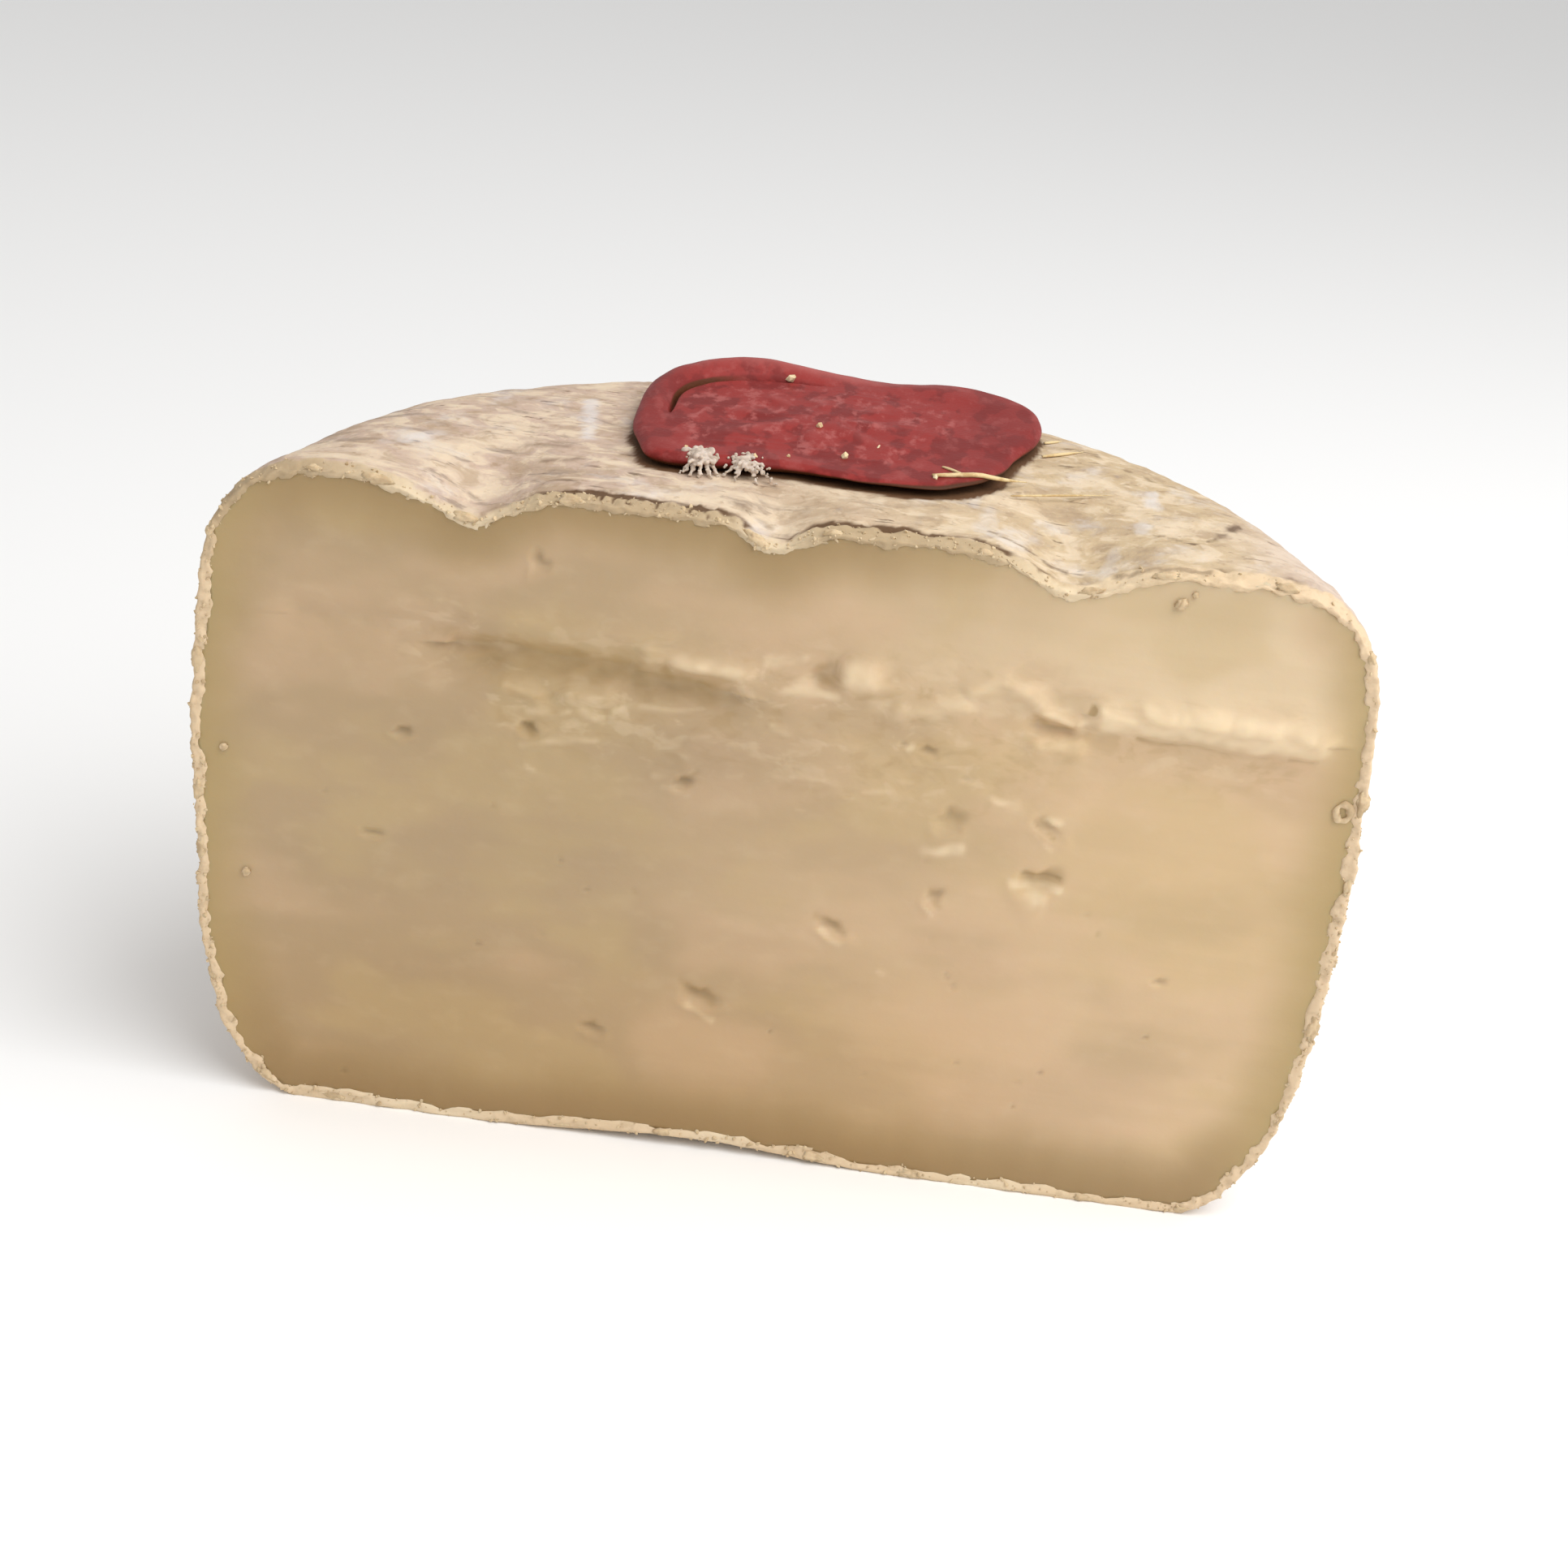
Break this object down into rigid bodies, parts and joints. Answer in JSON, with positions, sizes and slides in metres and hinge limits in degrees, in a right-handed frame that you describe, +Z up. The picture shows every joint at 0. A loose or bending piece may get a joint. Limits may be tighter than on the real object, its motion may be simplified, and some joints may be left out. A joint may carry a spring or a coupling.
{
  "type": "half wheel of sheep milk cheese",
  "caption": "Half of a small round sheep milk cheese cut upright, with a mottled rind, small eyes and a torn crack in the pale paste, and a red wax seal on top.",
  "frame": {"origin": "middle of the bottom of the bounding box; the half wheel stands on its flat base at z = 0", "axes": "+X to the right along the cut face as seen from the front, +Y from the cut face to the round back, +Z up"},
  "size_m": [0.1636, 0.0818, 0.1032],
  "materials": {
    "paste": "soft cream cheese paste, slightly translucent, darker just under the rind",
    "rind": "dry mottled beige rind with grey brown streaks and pale mould",
    "wax": "dark red sealing wax, soft sheen"
  },
  "bodies": {
    "root": {"cheese_half": "paste", "wax_seal": "wax"}
  },
  "joints": []
}
